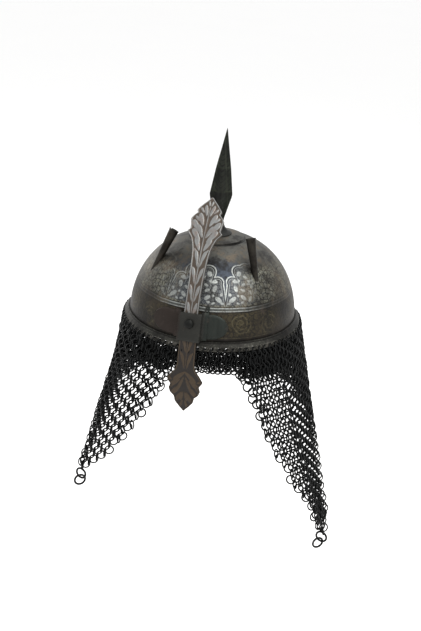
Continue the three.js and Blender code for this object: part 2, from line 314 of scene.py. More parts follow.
def endTree(group, tree, geometry, material):
    realised = tree.node("GeometryNodeRealizeInstances", sockets={0: geometry})
    painted = tree.node("GeometryNodeSetMaterial", sockets={"Geometry": realised, "Material": material})
    end = group.nodes.new("NodeGroupOutput")
    group.links.new(painted.socket, end.inputs[0])


# Puts a tree on an object, sets its inputs by their identifiers and keeps the plain mesh it makes.
def growMesh(made, group, values):
    grown = made.modifiers.new(group.name, "NODES")
    grown.node_group = group
    for item in group.interface.items_tree:
        if item.in_out == "INPUT" and item.name in values:
            grown[item.identifier] = values[item.name]
    return applyModifiers(made)


lengthType, countType, materialType = "NodeSocketFloat", "NodeSocketInt", "NodeSocketMaterial"


# Wire rings at the vertices of the incoming mesh, turned by its "turn" attribute.
def ringTree():
    group, tree, given = geometryTree("wireRings", {
        "Ring radius": (lengthType, 0.0053), "Wire radius": (lengthType, 0.0007),
        "Steps": (countType, 14), "Wire sides": (countType, 5),
        "Unevenness": (lengthType, 0.1), "Seed": (countType, 7), "Material": (materialType, None)})
    circle = tree.node("GeometryNodeCurvePrimitiveCircle", {"mode": "RADIUS"},
                       {"Resolution": given["Steps"], "Radius": given["Ring radius"]})
    wire = tree.node("GeometryNodeCurvePrimitiveCircle", {"mode": "RADIUS"},
                     {"Resolution": given["Wire sides"], "Radius": given["Wire radius"]})
    ring = tree.node("GeometryNodeCurveToMesh", sockets={"Curve": circle, "Profile Curve": wire})
    smooth = tree.node("GeometryNodeSetShadeSmooth", sockets={"Geometry": ring})
    turn = tree.node("GeometryNodeInputNamedAttribute", {"data_type": "FLOAT_VECTOR"}, {"Name": "turn"})
    swing = tree.node("FunctionNodeRandomValue", {"data_type": "FLOAT_VECTOR"},
                      {0: (-1.0, -1.0, -1.0), 1: (1.0, 1.0, 1.0), "Seed": given["Seed"]})
    scaled = tree.node("ShaderNodeVectorMath", {"operation": "SCALE"},
                       {0: swing, "Scale": given["Unevenness"]})
    placed = tree.node("GeometryNodeInstanceOnPoints",
                       sockets={"Points": given["Geometry"], "Instance": smooth, "Rotation": turn})
    uneven = tree.node("GeometryNodeRotateInstances", sockets={"Instances": placed, "Rotation": scaled})
    endTree(group, tree, uneven, given["Material"])
    return group


# Points that carry a turn, as a mesh without faces, ready for the ring tree.
def pointCloud(name, points, turns):
    mesh = bpy.data.meshes.new(name)
    mesh.from_pydata([tuple(p) for p in points], [], [])
    attribute = mesh.attributes.new("turn", "FLOAT_VECTOR", "POINT")
    attribute.data.foreach_set("vector", np.array(turns, dtype=float).ravel())
    return linkObject(name, mesh)


# Euler angles that turn +Z to normal and +X as near as it goes to along.
def turnTo(normal, along):
    normal = normal / np.linalg.norm(normal)
    side = along - normal * np.dot(along, normal)
    side = side / np.linalg.norm(side)
    up = np.cross(normal, side)
    return Matrix(np.stack([side, up, normal], 1).tolist()).to_euler()


# The same for a level normal at an azimuth, with +X turned upwards.
def turnFacing(azimuth):
    return turnTo(roundPoint(azimuth, 1.0, 0.0), np.array((0, 0, 1.0)))


roomSettings = {
    "azimuth": 13.5, "elevation": 23.3, "roll": 3.83, "distance": 1.175, "lens": 54.5, "sensor": 36.0,
    "shiftX": -0.0025, "shiftY": -0.0012, "floorHeight": -0.62, "floorSize": 60.0, "worldStrength": 1.0,
}


# Where a thing at an azimuth and elevation from the middle of the rim stands, in metres.
def standAt(azimuth, elevation, distance):
    flat = math.cos(math.radians(elevation)) * distance
    place = roundPoint(azimuth, flat, math.sin(math.radians(elevation)) * distance)
    return Vector(place.tolist())


def linkData(name, data, place, aim=(0, 0, 0), roll=0.0):
    made = linkObject(name, data)
    turn = (Vector(aim) - place).to_track_quat("-Z", "Y").to_matrix().to_4x4()
    made.matrix_world = Matrix.Translation(place) @ turn @ Matrix.Rotation(math.radians(roll), 4, "Z")
    return made


def makeCamera():
    s = roomSettings
    data = bpy.data.cameras.new("camera")
    data.lens = s["lens"]
    data.sensor_width = s["sensor"]
    data.shift_x = s["shiftX"]
    data.shift_y = s["shiftY"]
    data.clip_end = 200
    place = standAt(s["azimuth"], s["elevation"], s["distance"])
    bpy.context.scene.camera = linkData("camera", data, place, roll=s["roll"])


def makeFloor():
    size = roomSettings["floorSize"]
    up = roomSettings["floorHeight"]
    corners = [(-size, -size, up), (size, -size, up), (size, size, up), (-size, size, up)]
    plaster = makeMaterial("palePlaster", paleFloor)
    makeObject("floor", corners, [(0, 1, 2, 3)], plaster)


def paleFloor(tree):
    colour = tree.mixColour(tree.noise(1.3, 2.0), (0.97, 0.97, 0.97), (0.985, 0.985, 0.98))
    return {"Base Color": colour, "Roughness": 0.9}


# name: azimuth, elevation, distance, size, power, colour
softLights = {
    "keyLight": (48, 50, 1.6, 1.0, 20, (1.0, 0.99, 0.97)),
    "fillLight": (-60, 30, 1.8, 1.2, 5, (0.95, 0.97, 1.0)),
    "topLight": (150, 70, 1.8, 1.4, 18, (1.0, 1.0, 1.0)),
    "leftLight": (-125, 18, 1.8, 1.2, 9, (1.0, 0.98, 0.95)),
}


def makeLights():
    for name, (azimuth, elevation, distance, size, power, colour) in softLights.items():
        data = bpy.data.lights.new(name, "AREA")
        data.shape = "DISK"
        data.size = size
        data.energy = power
        data.color = colour
        linkData(name, data, standAt(azimuth, elevation, distance))
    world = bpy.data.worlds.new("studio")
    bpy.context.scene.world = world
    world.use_nodes = True
    background = world.node_tree.nodes["Background"]
    background.inputs["Color"].default_value = (1.0, 1.0, 1.0, 1.0)
    background.inputs["Strength"].default_value = roomSettings["worldStrength"]
    bpy.context.scene.view_settings.view_transform = "Standard"


# A colour given as it looks on a screen, 0 to 255, in the shader's linear numbers.
def tone(*levels):
    return tuple(((v / 255 + 0.055) / 1.055) ** 2.4 if v > 10 else v / 255 / 12.92 for v in levels)


# Distance to an ellipse, roughly, in the units of x and y; below 0 inside.
def blob(x, y, centreX, centreY, wide, high, turn=0.0):
    c, s = math.cos(math.radians(turn)), math.sin(math.radians(turn))
    dx, dy = x - centreX, y - centreY
    across = (dx * c + dy * s) * (1 / wide)
    up = (dy * c - dx * s) * (1 / high)
    return ((across * across + up * up) ** 0.5 - 1.0) * min(wide, high)


def disc(x, y, centreX, centreY, radius):
    dx, dy = x - centreX, y - centreY
    return (dx * dx + dy * dy) ** 0.5 - radius


# 1 on a line where a distance is 0, falling to 0 over a soft edge.
def line(tree, distance, halfWidth, soft=0.35):
    return tree.smooth(abs(distance), halfWidth + soft, halfWidth)


def inside(tree, distance, soft=0.35):
    return tree.smooth(distance, soft, -soft)


# The arcade of lobed arches above the double line. Discs are x, height and radius.
archShape = {
    "cell": 45.0, "shoulder": (20.5, 76.5, 8.4), "head": (7.5, 88.5, 10.2), "crown": (0.0, 91.5, 8.5),
    "foot": (31.0, 69.8, 0.36), "footTop": 77.0, "body": (17.0, 88.0), "bottom": 51.5,
    "outline": 0.55, "inner": 0.25, "inset": 2.5, "flower": 76.0,
}
# x, height, half length, half width, turn of the leaves and flowers inside each half arch
archLeaves = [
    (16.7, 79.4, 5.0, 2.4, -10), (20.0, 71.0, 2.4, 3.9, 0), (26.7, 58.7, 5.0, 2.2, -35),
    (28.5, 64.3, 1.8, 1.8, 0), (12.0, 68.9, 3.0, 1.8, 20), (13.6, 60.6, 3.7, 2.2, 40),
    (10.6, 87.9, 3.6, 2.5, -50), (19.6, 62.7, 1.5, 1.5, 0), (15.5, 55.6, 2.4, 1.3, -20),
    (21.2, 54.6, 2.1, 1.2, 25), (31.5, 54.6, 2.4, 1.2, -20), (3.6, 65.5, 3.4, 1.6, 60),
    (5.2, 58.5, 3.6, 1.6, -55), (4.6, 83.2, 3.0, 1.5, 35), (9.5, 74.8, 2.8, 1.5, -20),
]
bandShape = {"low": 45.8, "high": 49.2, "cell": 22.5, "middle": 29.0, "sway": 2.6, "pitch": 5.2,
             "top": 43.4, "bottom": 13.8}
steelFront = 10.0  # azimuth that the ornament is clearest at


# Small leaves that fill a surface, each in its own cell: 1 on a leaf. place is in millimetres.
def leafField(tree, place, size, seed):
    bent = tree.node("ShaderNodeVectorMath", {"operation": "ADD"}, {0: place, 1: seed})
    cells = tree.node("ShaderNodeTexVoronoi", {"feature": "DISTANCE_TO_EDGE", "voronoi_dimensions": "2D"},
                      {"Vector": bent, "Scale": 1.0 / size, "Randomness": 0.85}, output="Distance")
    ribs = tree.node("ShaderNodeTexWave", {"bands_direction": "DIAGONAL"},
                     {"Vector": bent, "Scale": 0.9 / size, "Distortion": 6.0, "Detail": 1.0}, output=1)
    return tree.smooth(cells, 0.06, 0.13) * (0.55 + 0.45 * tree.smooth(ribs, 0.2, 0.4))


def archOrnament(tree, local, out, rise, filler):
    s = archShape
    x = abs(local) * math.radians(1) * out
    shape = disc(x, rise, *s["shoulder"])
    shape = shape.least(disc(x, rise, *s["head"])).least(disc(x, rise, *s["crown"]))
    footX, footY, slope = s["foot"]
    foot = ((x - footX - (footY - rise) * slope) * 0.94).most(rise - s["footTop"])
    bodyX, bodyTop = s["body"]
    shape = shape.least(foot).least((x - bodyX).most(rise - bodyTop))
    edge = line(tree, shape, s["outline"]).most(line(tree, shape + s["inset"], s["inner"]) * 0.6)
    leaves = None
    for leaf in archLeaves:
        one = blob(x, rise, *leaf)
        leaves = one if leaves is None else leaves.least(one)
    petals = (rise - s["flower"]).math("ARCTAN2", x)
    rosette = disc(x, rise, 0.0, s["flower"], 4.6) + (petals * 6.0).math("SINE") * 1.3
    heart = disc(x, rise, 0.0, s["flower"], 1.4)
    leaves = leaves.least(rosette.most(-heart)).least((x - 0.5).most(abs(rise - 66.0) - 9.0))
    within = inside(tree, shape + s["inset"])
    silver = edge.most(inside(tree, leaves) * within).most(filler * within * 0.28)
    return silver * tree.smooth(rise, s["bottom"] - 0.5, s["bottom"] + 0.5), inside(tree, shape)


# The scrolling vine round the bowl's lower half: 1 on its thin bright lines, and 1 on its leaves.
def vineOrnament(tree, turn, rise, warp, filler):
    s = bandShape
    cell = (turn * (1 / s["cell"])).math("FLOOR")
    hand = (cell % 2.0) * 2.0 - 1.0
    x = (turn - (cell + 0.5) * s["cell"]) * hand * 1.76 + warp[0]
    y = rise - s["middle"] - hand * s["sway"] + warp[1]
    out = (x * x + y * y) ** 0.5
    angle = y.math("ARCTAN2", x)
    wrap = out * (1 / s["pitch"]) - angle * (0.5 / math.pi)
    stem = (abs(wrap % 1.0 - 0.5) * s["pitch"] - 0.3).most(out - 13.2)
    flower = out - 3.1 - (angle * 6.0).math("SINE") * 0.8
    curls = abs((wrap % 1.0) - 0.5) * s["pitch"] - 1.7
    beads = (abs((angle * 3.5 + out * 0.6).math("SINE")) - 0.62) * 3.0
    leaves = curls.most(-beads).most(out - 14.5)
    body = inside(tree, flower.least(leaves)).most(filler * 0.8)
    soft = 0.8
    below = tree.smooth(rise, s["top"] + soft, s["top"])
    within = below * tree.smooth(rise, s["bottom"] - soft, s["bottom"])
    return inside(tree, stem.least(abs(rise - 14.2) - 0.3)) * within, body * within


def etchedSteel(tree):
    x, y, z = tree.axes()
    out = (x * x + y * y) ** 0.5
    outMm = out * 1000.0
    turn = x.math("ARCTAN2", -y) * math.degrees(1)
    rise = z.math("ARCTAN2", out) * (1.8 * math.degrees(1))
    turn = turn + (tree.noise(26.0, 2.0, seed=3.0) - 0.5) * 2.4
    rise = rise + (tree.noise(31.0, 2.0, seed=8.0) - 0.5) * 2.8
    flat = tree.node("ShaderNodeCombineXYZ", sockets={0: turn * 1.76, 1: rise, 2: 0.0})
    sway = [(tree.noise(75.0, 2.0, seed=seed) - 0.5) * 9.0 for seed in (14.0, 15.0)]
    filler = leafField(tree, flat, 4.6, (7.0, 3.0, 0.0))
    foliage = leafField(tree, flat, 6.4, (1.0, 9.0, 0.0))
    local = (turn + 22.5) % archShape["cell"] - 22.5
    arches, archFill = archOrnament(tree, local, outMm, rise, filler)
    vineLines, vineLeaves = vineOrnament(tree, turn, rise, sway, foliage)
    band = line(tree, rise - bandShape["low"], 0.35).most(line(tree, rise - bandShape["high"], 0.45))
    bandFill = inside(tree, abs(rise - 47.5) - 1.6)

    fine = tree.noise(420.0, 4.0, 0.7, seed=1.0)
    cloud = tree.noise(24.0, 4.0, 0.6, seed=5.0)
    blotch = tree.noise(70.0, 4.0, 0.65, seed=6.0)
    streak = tree.noise(52.0, 4.0, 0.65, seed=9.0, place=tree.stretched(0.35))
    front = tree.smooth(abs(turn - steelFront), 46.0, 16.0)
    wear = tree.smooth(cloud * 0.6 + blotch * 0.4 + front * 0.2, 0.4, 0.68)
    scuffed = tree.smooth(fine * 0.55 + blotch * 0.45, 0.38, 0.58)
    keep = (0.16 + front * 0.72) * (0.4 + 0.6 * scuffed) * (0.5 + 0.5 * wear)

    # Painted rim light and grazing reflection: the bowl's sides, away from the front, are made lighter
    # brown-grey.
    sides = tree.smooth(abs(turn - steelFront), 36.0, 82.0)
    # Painted top light: the top of the dome is made lighter grey.
    above = tree.smooth(rise + (blotch - 0.5) * 26.0, 84.0, 112.0)
    zone = front * tree.smooth(rise, 51.0, 54.0) * tree.smooth(rise + (blotch - 0.5) * 30.0, 112.0, 92.0)
    hidden = (1 - zone) * (1 - tree.smooth(rise, 84.0, 96.0)) * tree.smooth(rise, 50.0, 52.0)
    silver = arches.most(band) * keep
    rust = tree.smooth(tree.noise(46.0, 5.0, 0.7, seed=12.0), 0.56, 0.74)
    dirt = tree.smooth(z + (blotch - 0.5) * 0.02, 0.022, 0.006)
    crack = line(tree, outMm - 33.0 + (blotch - 0.5) * 4.0, 0.6, 0.6) * tree.smooth(z, 0.08, 0.09)
    colour = tree.coat(
        tree.mixColour(tree.smooth(cloud, 0.36, 0.64), tone(21, 19, 16), tone(42, 39, 34)),
        # painted rim light and grazing reflection on the sides
        (sides * 0.75, (60, 55, 48)),
        # painted top light on the dome
        (above * 0.8, (68, 68, 64)),
        (zone * (0.85 - archFill * 0.35), (56, 62, 72)),
        (tree.smooth(streak, 0.5, 0.62) * 0.6, (80, 70, 56)),
        (tree.smooth(streak, 0.5, 0.37) * 0.85, (15, 13, 11)),
        (tree.smooth(blotch * 0.6 + fine * 0.4, 0.49, 0.4) * 0.6, (22, 19, 16)),
        (foliage * hidden * scuffed * (0.35 + 0.65 * wear) * 0.85, (112, 111, 98)),
        (tree.smooth(rise, 47.0, 44.0) * 0.65, (19, 17, 14)),
        (vineLeaves * wear * (0.3 + 0.7 * scuffed), (60, 54, 38)),
        (vineLines * wear * (0.3 + 0.6 * scuffed), (82, 77, 60)),
        (bandFill * keep * 0.7, (84, 88, 86)),
        (silver, (143, 146, 143)),
        (rust * 0.5, (52, 38, 26)),
        (dirt * 0.6, (20, 17, 14)),
        (crack * 0.9, (8, 7, 6)))
    height = silver * 0.5 + vineLines * 0.25 - vineLeaves * 0.25 + fine * 0.35 + blotch * 0.3 - crack
    roughness = (0.4 + blotch * 0.24 - silver * 0.1 + rust * 0.2).clamped()
    return metalSurface(tree, colour, 0.74 + silver * 0.2 - rust * 0.4, roughness, height, 0.0004, 0.75)


def rimSteel(tree):
    x, y, z = tree.axes()
    cloud = tree.noise(38.0, 4.0, 0.6, seed=21.0)
    fine = tree.noise(500.0, 4.0, 0.7, seed=22.0)
    # Painted highlight: the lower roll of the rim, round the holes, is made lighter.
    lower = tree.smooth(z, 0.0066, 0.0052)
    scuffed = tree.smooth(fine * 0.6 + cloud * 0.4 + lower * 0.05, 0.51, 0.62)
    rust = tree.smooth(tree.noise(90.0, 4.0, 0.7, seed=23.0), 0.55, 0.7)
    groove = line(tree, (z - 0.0092) * 1000.0, 0.5, 0.4)
    colour = tree.coat(
        tree.mixColour(tree.smooth(cloud, 0.35, 0.66), tone(20, 19, 17), tone(42, 42, 38)),
        # light scuffed patches, partly real scuffs and partly painted highlight, stronger on the lower roll
        (scuffed * (0.35 + lower * 0.35), (92, 90, 84)),
        (rust * 0.5, (38, 28, 21)),
        (groove * 0.7, (12, 10, 9)))
    roughness = 0.42 + fine * 0.25 + rust * 0.2
    return metalSurface(tree, colour, 0.85 - rust * 0.5, roughness, fine * 0.5 + cloud * 0.4 - groove)


def blackSteel(tree):
    cloud = tree.noise(60.0, 4.0, 0.6, seed=31.0)
    fine = tree.noise(600.0, 4.0, 0.7, seed=32.0)
    mixed = fine * 0.5 + cloud * 0.5
    colour = tree.mixColour(cloud, tone(11, 12, 11), tone(28, 29, 27))
    colour = tree.coat(colour, (tree.smooth(mixed, 0.56, 0.66) * 0.4, (60, 58, 54)))
    return metalSurface(tree, colour, 0.8, 0.38 + fine * 0.3, mixed)


def mailSteel(tree):
    cloud = tree.noise(30.0, 3.0, 0.6, seed=41.0)
    fine = tree.noise(700.0, 3.0, 0.7, seed=42.0)
    rust = tree.smooth(fine * 0.4 + cloud * 0.6, 0.6, 0.72)
    colour = tree.mixColour(cloud, tone(6, 7, 8), tone(19, 20, 20))
    colour = tree.coat(colour, (rust * 0.4, (30, 23, 18)))
    return {"Base Color": colour, "Metallic": 0.8, "Roughness": 0.4 + fine * 0.25}


def engravedSteel(tree):
    x, y, z = tree.axes()
    angle = math.radians(spikeTurn)
    across = (x * math.cos(angle) + y * math.sin(angle)) * 1000.0
    along = z * 1000.0
    half = (232.0 - along) * 0.17
    lower = tree.smooth(along, 158.0, 156.0)
    vee = along * 0.16 - abs(across) * 0.16
    leaf = abs(vee % 1.0 - 0.5) * 6.0
    ribs = tree.noise(240.0, 3.0, 0.6, seed=33.0) - 0.5
    veins = line(tree, leaf - 1.2 + ribs * 1.6, 0.35, 0.3)
    veins = veins.most(line(tree, abs(across) - half * 0.62 + ribs * 1.4, 0.35, 0.3))
    veins = veins.most(line(tree, along - 186.0, 0.5)).most(line(tree, along - 158.0, 0.5))
    cloud = tree.noise(60.0, 4.0, 0.6, seed=31.0)
    fine = tree.noise(600.0, 4.0, 0.7, seed=32.0)
    colour = tree.mixColour(cloud, tone(9, 10, 9), tone(23, 25, 21))
    shown = veins * (0.5 - lower * 0.2) * tree.smooth(cloud, 0.3, 0.6)
    colour = tree.coat(colour, (shown, (66, 70, 58)))
    return metalSurface(tree, colour, 0.8, 0.42 + fine * 0.25, fine * 0.4 + veins * 0.8, 0.0004, 0.8)


def wornSteel(tree):
    cloud = tree.noise(70.0, 4.0, 0.6, seed=51.0)
    fine = tree.noise(500.0, 4.0, 0.7, seed=52.0)
    rust = tree.smooth(tree.noise(120.0, 4.0, 0.7, seed=53.0), 0.55, 0.7)
    colour = tree.mixColour(tree.smooth(cloud, 0.35, 0.65), tone(21, 18, 15), tone(46, 43, 38))
    colour = tree.coat(colour, (rust * 0.5, (42, 30, 22)))
    return metalSurface(tree, colour, 0.8, 0.4 + fine * 0.25, fine * 0.6 + cloud * 0.4)


# The bar is pale at its top and rusty at its lower end, and the leaves stand out from its ground.
def paleSteel(tree):
    raised = tree.node("ShaderNodeAttribute", {"attribute_name": "raised"}, output="Fac")
    along = tree.node("ShaderNodeAttribute", {"attribute_name": "alongBar"}, output="Fac")
    cloud = tree.noise(60.0, 4.0, 0.65, seed=61.0)
    blotch = tree.noise(140.0, 4.0, 0.65, seed=62.0)
    fine = tree.noise(700.0, 4.0, 0.7, seed=63.0)
    down = tree.smooth(along + (cloud - 0.5) * 50.0, 96.0, 44.0)
    tips = tree.smooth(raised, 0.15, 0.75)
    pale = tree.mixColour(cloud, tone(98, 95, 92), tone(136, 139, 139))
    pale = tree.coat(pale, (tree.smooth(blotch, 0.5, 0.66) * 0.45, (112, 92, 82)))
    brown = tree.mixColour(blotch, tone(48, 40, 34), tone(84, 75, 66))
    rustLow = tree.mixColour(cloud, tone(15, 10, 7), tone(30, 22, 15))
    rustHigh = tree.mixColour(blotch, tone(40, 29, 19), tone(70, 57, 40))
    lower = tree.mixColour(tips, rustLow, rustHigh)
    colour = tree.mixColour(down, tree.mixColour(tips, brown, pale), lower)
    roughness = (0.42 + blotch * 0.2 + down * 0.15 - tips * 0.06).clamped()
    metallic = 0.75 - down * 0.35 - (1 - tips) * 0.15
    return metalSurface(tree, colour, metallic, roughness, fine * 0.5 + blotch * 0.5)


# The bracket is reddish at its left, green at its right and grey between.
def rustySteel(tree):
    x, y, z = tree.axes()
    cloud = tree.noise(50.0, 4.0, 0.65, seed=71.0)
    fine = tree.noise(500.0, 4.0, 0.7, seed=72.0)
    bands = tree.noise(180.0, 3.0, 0.6, seed=73.0, place=tree.stretched(0.2))
    rust = tree.smooth(tree.noise(110.0, 4.0, 0.7, seed=74.0), 0.56, 0.7)
    red = tree.mixColour(cloud, tone(27, 20, 16), tone(44, 36, 31))
    green = tree.mixColour(bands, tone(18, 21, 18), tone(42, 47, 43))
    grey = tree.mixColour(cloud, tone(22, 22, 20), tone(50, 50, 46))
    across = x * 1000.0
    colour = tree.mixColour(tree.smooth(across + (cloud - 0.5) * 8.0, -14.0, -10.0), red, grey)
    colour = tree.mixColour(tree.smooth(across, 14.0, 17.0), colour, green)
    colour = tree.coat(colour, (rust * 0.5, (46, 31, 20)))
    roughness = 0.42 + bands * 0.2 + rust * 0.15
    return metalSurface(tree, colour, 0.7 - rust * 0.4, roughness, fine * 0.6 + bands * 0.4, 0.00035, 0.7)


steels = (etchedSteel, rimSteel, blackSteel, mailSteel, engravedSteel, wornSteel, paleSteel, rustySteel)
finishes = {build.__name__: makeMaterial(build.__name__, build) for build in steels}

bowlDetail = {"sides": 192, "outerSteps": 56, "innerSteps": 28, "dents": 0.00035}


def bowlProfile(offset, steps):
    angles = np.linspace(0, math.pi / 2, steps + 1)
    power = 2 / bowlShape["power"]
    out = (bowlShape["radius"] + offset) * np.clip(np.cos(angles), 0, 1) ** power
    up = (bowlShape["height"] + offset) * np.sin(angles) ** power
    out[-1] = 0
    return list(zip(out, np.maximum(up, bowlShape["foot"])))


# A slow wave over a round surface, between -1 and 1, the same at each run.
def slowWave(points, seed):
    waves = np.random.default_rng(seed)
    total = np.zeros(len(points))
    for _ in range(6):
        way = waves.normal(size=3) * 45
        total += np.sin(points @ way + waves.uniform(0, 6.28)) / 6
    return total


def makeBowl():
    outside = bowlProfile(0, bowlDetail["outerSteps"])
    inside = bowlProfile(-bowlShape["wall"], bowlDetail["innerSteps"])[::-1]
    points, faces = turnedBody(outside + inside, bowlDetail["sides"])
    lift = slowWave(points, 5) * bowlDetail["dents"]
    points += points / np.linalg.norm(points, axis=1)[:, None] * lift[:, None]
    made = faceOut(makeObject("bowlShell", points, faces, finishes["etchedSteel"]))
    finishPiece(made, "helmet", "etched_steel", "bowl")


def finishPiece(made, body, slotName, *nodes):
    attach(made, body)
    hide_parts(*nodes)
    print(made.name, len(made.data.polygons), "faces")


plateShape = {"radius": 0.032, "lift": 0.0003, "thickness": 0.0014, "uneven": 0.0007, "sides": 144}
collarShape = {"foot": 0.017, "lift": 0.002, "edge": 0.0009, "top": 0.1206, "sides": 96}
# radius and height of the collar's side, from its top down to its foot
collarSide = [(0.0060, 0.1206), (0.0066, 0.1203), (0.0068, 0.1196), (0.0069, 0.1182), (0.0075, 0.1162),
              (0.0084, 0.1142), (0.0096, 0.1124), (0.0112, 0.1107), (0.0130, 0.1094), (0.0150, 0.1084)]


def makeCrownPlate():
    s = plateShape
    radii = np.array([s["radius"], 0.0317, 0.030, 0.026, 0.020, 0.014, 0.008, 0.0])
    under = [(out, bowlHeightAt(out) + s["lift"]) for out in radii]
    over = [(out, bowlHeightAt(out) + s["lift"] + s["thickness"]) for out in radii[1:][::-1]]
    edge = [(s["radius"], bowlHeightAt(s["radius"]) + s["lift"] + 0.7 * s["thickness"])]
    points, faces = turnedBody(under + over + edge, s["sides"])
    out = np.linalg.norm(points[:, :2], axis=1)
    share = np.clip((out - 0.02) / 0.012, 0, 1) ** 2
    ragged = slowWave(points * 3.0, 11) * s["uneven"] * share
    points[:, :2] *= (1 + ragged / np.maximum(out, 1e-4))[:, None]
    points[:, 2] -= np.maximum(ragged, 0) * 0.5
    made = faceOut(makeObject("crownDisc", points, faces, finishes["etchedSteel"]))
    finishPiece(made, "helmet", "etched_steel", "crown_plate")


def makeCollar():
    s = collarShape
    under = [(out, bowlHeightAt(out) + s["lift"]) for out in (s["foot"], 0.011, 0.005, 0.0)]
    edge = [(s["foot"] - 0.0004, bowlHeightAt(s["foot"]) + s["lift"] + s["edge"]),
            (s["foot"], bowlHeightAt(s["foot"]) + s["lift"] + 0.5 * s["edge"])]
    points, faces = turnedBody(under + [(0.0, s["top"])] + collarSide + edge, s["sides"])
    made = faceOut(makeObject("spikeSocket", points, faces, finishes["blackSteel"]))
    finishPiece(made, "helmet", "black_steel", "spike_collar")


spikeShape = {
    "width": 0.0133, "depth": 0.0095, "turn": spikeTurn, "foot": 0.1209, "tip": 0.232, "leanX": 0.0034,
    "leanY": 0.0008, "hollow": 0.13, "perSide": 10, "rows": 110,
}
spikeLevels = np.array([(0.1209, 0.44), (0.126, 0.50), (0.130, 0.58), (0.140, 0.76), (0.149, 0.94),
                        (0.1525, 0.985), (0.154, 1.0), (0.1555, 0.985), (0.170, 0.825), (0.185, 0.66),
                        (0.210, 0.31), (0.228, 0.065)])


def makeSpike():
    s = spikeShape
    heights = np.linspace(s["foot"], spikeLevels[-1, 0], s["rows"])
    sizes = np.interp(heights, spikeLevels[:, 0], spikeLevels[:, 1])
    corners = [np.array(roundPoint(turn + s["turn"], s["depth"] if turn % 180 == 0 else s["width"], 0.0))
               for turn in (0, 90, 180, 270)]
    section = []
    for i in range(4):
        for step in range(s["perSide"]):
            t = step / s["perSide"]
            point = corners[i] * (1 - t) + corners[(i + 1) % 4] * t
            section.append(point * (1 - s["hollow"] * math.sin(math.pi * t) ** 2))
    section = np.array(section)
    rows = []
    for up, size in zip(heights, sizes):
        along = (up - s["foot"]) / (s["tip"] - s["foot"])
        centre = np.array((s["leanX"] * along, s["leanY"] * along, up))
        rows.append(centre + section * size)
    points = np.concatenate(rows)
    count = len(section)
    faces = gridFaces(len(rows), count, wrap=True)
    points = np.concatenate([points, [(s["leanX"], s["leanY"], s["tip"]), (0, 0, s["foot"])]])
    last = (len(rows) - 1) * count
    faces += [(last + i, last + (i + 1) % count, len(points) - 2) for i in range(count)]
    faces += [((i + 1) % count, i, len(points) - 1) for i in range(count)]
    made = faceOut(makeObject("spikeBlade", points, faces, finishes["engravedSteel"], sharp=28))
    finishPiece(made, "helmet", "black_steel", "spike")


tubeShape = {"azimuth": 52, "length": 0.0435, "mouth": 0.006, "foot": 0.0034, "wall": 0.0009,
             "seam": 11.0, "sides": 44, "rows": 40, "clearance": 0.0003}
tubeRoots = {"left": (-1, 0.075, 0.0752, 26.8, 200.0), "right": (1, 0.0742, 0.0764, 17.5, 160.0)}


# Sheet rolled into an open tapered tube, its edges meeting in a narrow seam.
def makePlumeTube(side):
    s = tubeShape
    hand, out, up, lean, seamTurn = tubeRoots[side]
    azimuth = hand * s["azimuth"]
    lean = math.radians(lean)
    way = roundPoint(azimuth, -math.sin(lean), math.cos(lean))
    across = roundPoint(azimuth + 90, 1.0, 0.0)
    third = np.cross(way, across)
    start = roundPoint(azimuth, out, up)
    angles = np.radians(np.linspace(s["seam"], 360 - s["seam"], s["sides"]) + seamTurn)

    def surface(inset):
        rows = []
        ring = np.cos(angles)[:, None] * across + np.sin(angles)[:, None] * third
        low = np.full(len(angles), -0.02)
        high = np.full(len(angles), s["length"])
        for _ in range(40):
            middle = (low + high) / 2
            test = start + way * middle[:, None] + ring * tubeRadius(middle, inset)[:, None]
            buried = np.linalg.norm(test[:, :2], axis=1) < bowlRadiusAt(test[:, 2]) + s["clearance"]
            low, high = np.where(buried, middle, low), np.where(buried, high, middle)
        for step in np.linspace(0, 1, s["rows"]):
            place = high + (s["length"] - high) * step
            rows.append(start + way * place[:, None] + ring * tubeRadius(place, inset)[:, None])
        return np.array(rows)

    points, faces = slabBody(surface(0.0), surface(s["wall"]))
    made = faceOut(makeObject("plumeTube" + side.capitalize(), points, faces, finishes["wornSteel"]))
    finishPiece(made, "helmet", "etched_steel", "plume_tube_" + side)


def tubeRadius(place, inset):
    s = tubeShape
    share = np.clip(place / s["length"], -0.3, 1)
    flare = np.clip((share - 0.93) / 0.07, 0, 1) ** 2 * 0.00035
    return s["foot"] + (s["mouth"] - 0.00035 - s["foot"]) * share + flare - inset


barShape = {"thickness": 0.0025, "ground": 0.0003, "relief": 0.0007, "step": 0.0006, "columns": 45,
            "beadHalf": 0.9, "beadHeight": 0.9}
# distance along the bar from its circle's centre height, and half width there
barOutline = np.array([
    (-36.4, 0.6), (-31, 5.6), (-24.3, 10.9), (-18, 12.1), (-13.6, 16.8), (-8.6, 18.7), (-3, 16.9),
    (0, 19), (3.6, 21.3), (10, 17.2), (16.4, 12), (23, 10.3), (34, 10.2), (46, 10), (58, 9.6),
    (70, 9), (82, 8.3), (94, 8.1), (107, 8.1), (120, 8.3), (133, 8.8), (146, 9.6), (155, 10.6),
    (162, 12.4), (169, 15.2), (175.5, 20.6), (178, 17.6), (184, 18.2), (190.5, 19.4), (195, 16.4),
    (198, 13), (201.5, 14.6), (207, 10.6), (213, 5.4), (218.6, 0.6)])
